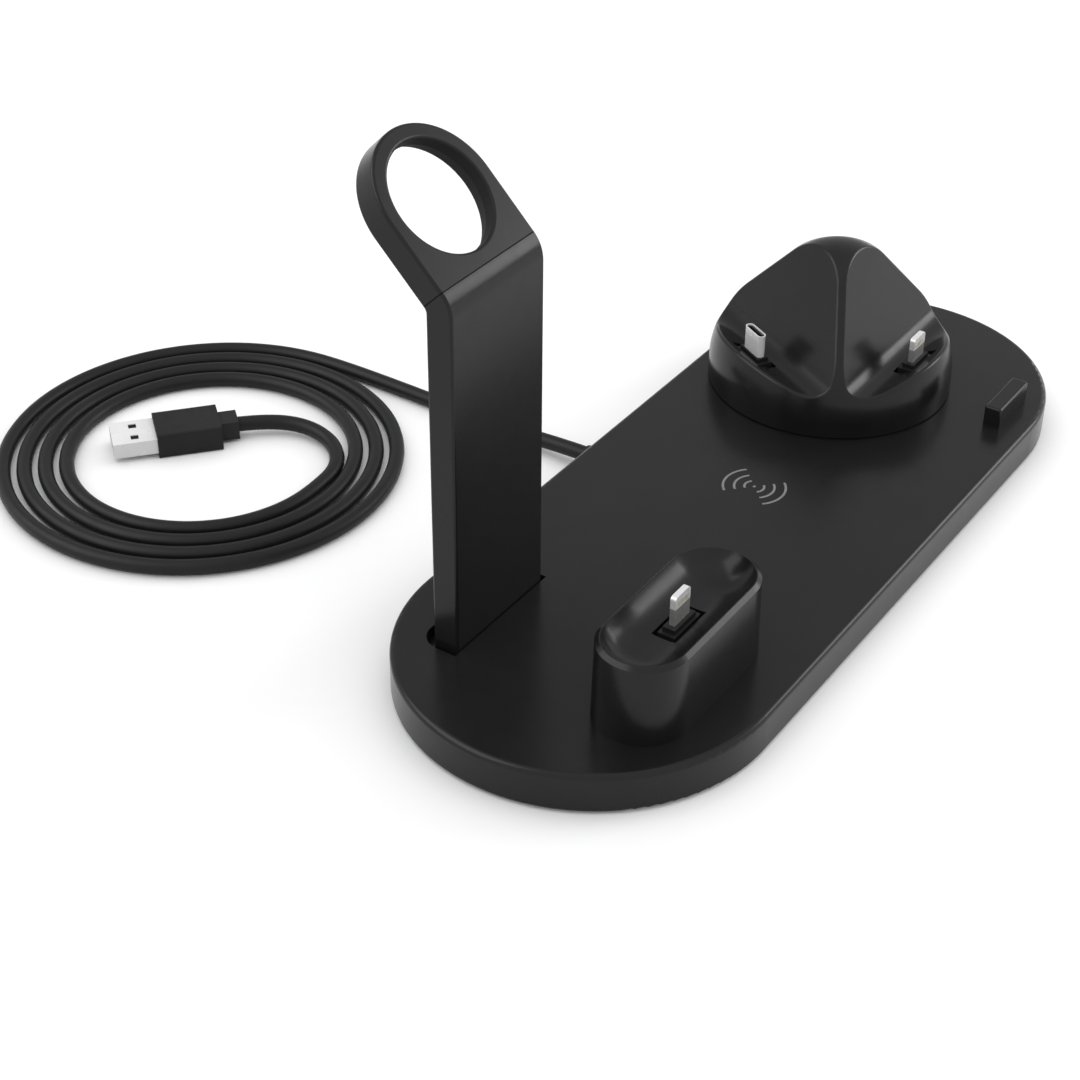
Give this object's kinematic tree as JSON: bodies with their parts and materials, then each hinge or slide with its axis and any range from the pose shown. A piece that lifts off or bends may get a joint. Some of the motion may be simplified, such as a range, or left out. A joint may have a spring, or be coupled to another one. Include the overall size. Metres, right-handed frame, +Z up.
{
  "type": "wireless charging stand",
  "caption": "Flat rounded charging base with a leaning watch stand, an earbud dock, a turning dome with phone plugs, a stop bar and a coiled cord with a type A plug.",
  "frame": {"origin": "centre of the base's underside, on the desk", "axes": "+X along the base towards the dome, +Y towards the side the cord leaves, +Z up"},
  "size_m": [0.25, 0.2498, 0.1329],
  "materials": {
    "satin_black": "fine satin",
    "dull_black": "matt",
    "soft_black": "soft matt",
    "cord_black": "smooth cord jacket",
    "screw_steel": "plain",
    "bright_steel": "bright plated",
    "plug_alloy": "satin plated",
    "gold": "gold plated",
    "copper": "wound wire",
    "ferrite": "dull",
    "board": "lacquered",
    "component_black": "moulded",
    "insulator_white": "moulded",
    "insulator_black": "moulded",
    "washer_white": "slippery"
  },
  "bodies": {
    "base": {"base_top_cover": "satin_black", "base_bottom_cover": "dull_black", "anti_slip_mat": "soft_black", "housing_screws": "screw_steel", "charging_coil": "copper", "ferrite_sheet": "ferrite", "main_board": "board", "board_components": "component_black", "board_screws": "screw_steel", "earbud_dock": "satin_black", "dock_screws": "screw_steel", "glide_washer": "washer_white", "slip_contact_disc": "board", "cord_grommet": "soft_black", "cord_clamp": "dull_black", "cord_lead": "cord_black", "cord_coil": "cord_black", "cord_tail": "cord_black", "usb_a_overmould": "dull_black", "usb_a_shell": "bright_steel", "usb_a_tongue": "insulator_white", "usb_a_collar": "soft_black"},
    "watch_stand": {"watch_post": "satin_black", "watch_head": "satin_black", "head_dowels": "screw_steel"},
    "dome": {"dome_shell": "satin_black", "dome_floor": "dull_black", "dome_screws": "screw_steel", "dome_retainer": "dull_black", "retainer_screws": "screw_steel", "contact_pin_holder": "insulator_black", "contact_pins": "gold", "dome_board": "board", "dome_board_screws": "screw_steel"},
    "earbud_connector": {"earbud_boot": "soft_black", "earbud_plug": "plug_alloy", "earbud_plug_insert": "insulator_white", "earbud_plug_contacts": "gold"},
    "phone_connector": {"phone_plug_boot": "soft_black", "phone_plug_tab": "plug_alloy", "phone_plug_insert": "insulator_white", "phone_plug_contacts": "gold"},
    "type_c_connector": {"type_c_boot": "soft_black", "type_c_shell": "bright_steel", "type_c_liner": "insulator_black"},
    "micro_b_connector": {"micro_b_boot": "soft_black", "micro_b_shell": "bright_steel", "micro_b_insert": "insulator_black"}
  },
  "joints": [
    {"name": "dome_turn", "type": "hinge", "parent": "base", "child": "dome", "pos_m": [0.0687, 0.0116, 0.0118], "axis": [0, 0, 1], "continuous": true},
    {"name": "watch_stand_lift", "type": "slide", "parent": "base", "child": "watch_stand", "axis": [0, 0, 1], "range_m": [0, 0.012]},
    {"name": "earbud_plug_tilt", "type": "hinge", "parent": "base", "child": "earbud_connector", "pos_m": [-0.0765, -0.024, 0.022], "axis": [1, 0, 0], "range_deg": [-6, 6], "stiffness_Nm_per_rad": 0.02},
    {"name": "phone_plug_tilt", "type": "hinge", "parent": "dome", "child": "phone_connector", "pos_m": [0.0687, -0.0144, 0.0188], "axis": [1, 0, 0], "range_deg": [-6, 6], "stiffness_Nm_per_rad": 0.02},
    {"name": "type_c_tilt", "type": "hinge", "parent": "dome", "child": "type_c_connector", "pos_m": [0.04618, 0.0246, 0.0188], "axis": [-0.5, -0.866, 0], "range_deg": [-6, 6], "stiffness_Nm_per_rad": 0.02},
    {"name": "micro_b_tilt", "type": "hinge", "parent": "dome", "child": "micro_b_connector", "pos_m": [0.09122, 0.0246, 0.0188], "axis": [-0.5, 0.866, 0], "range_deg": [-6, 6], "stiffness_Nm_per_rad": 0.02}
  ]
}
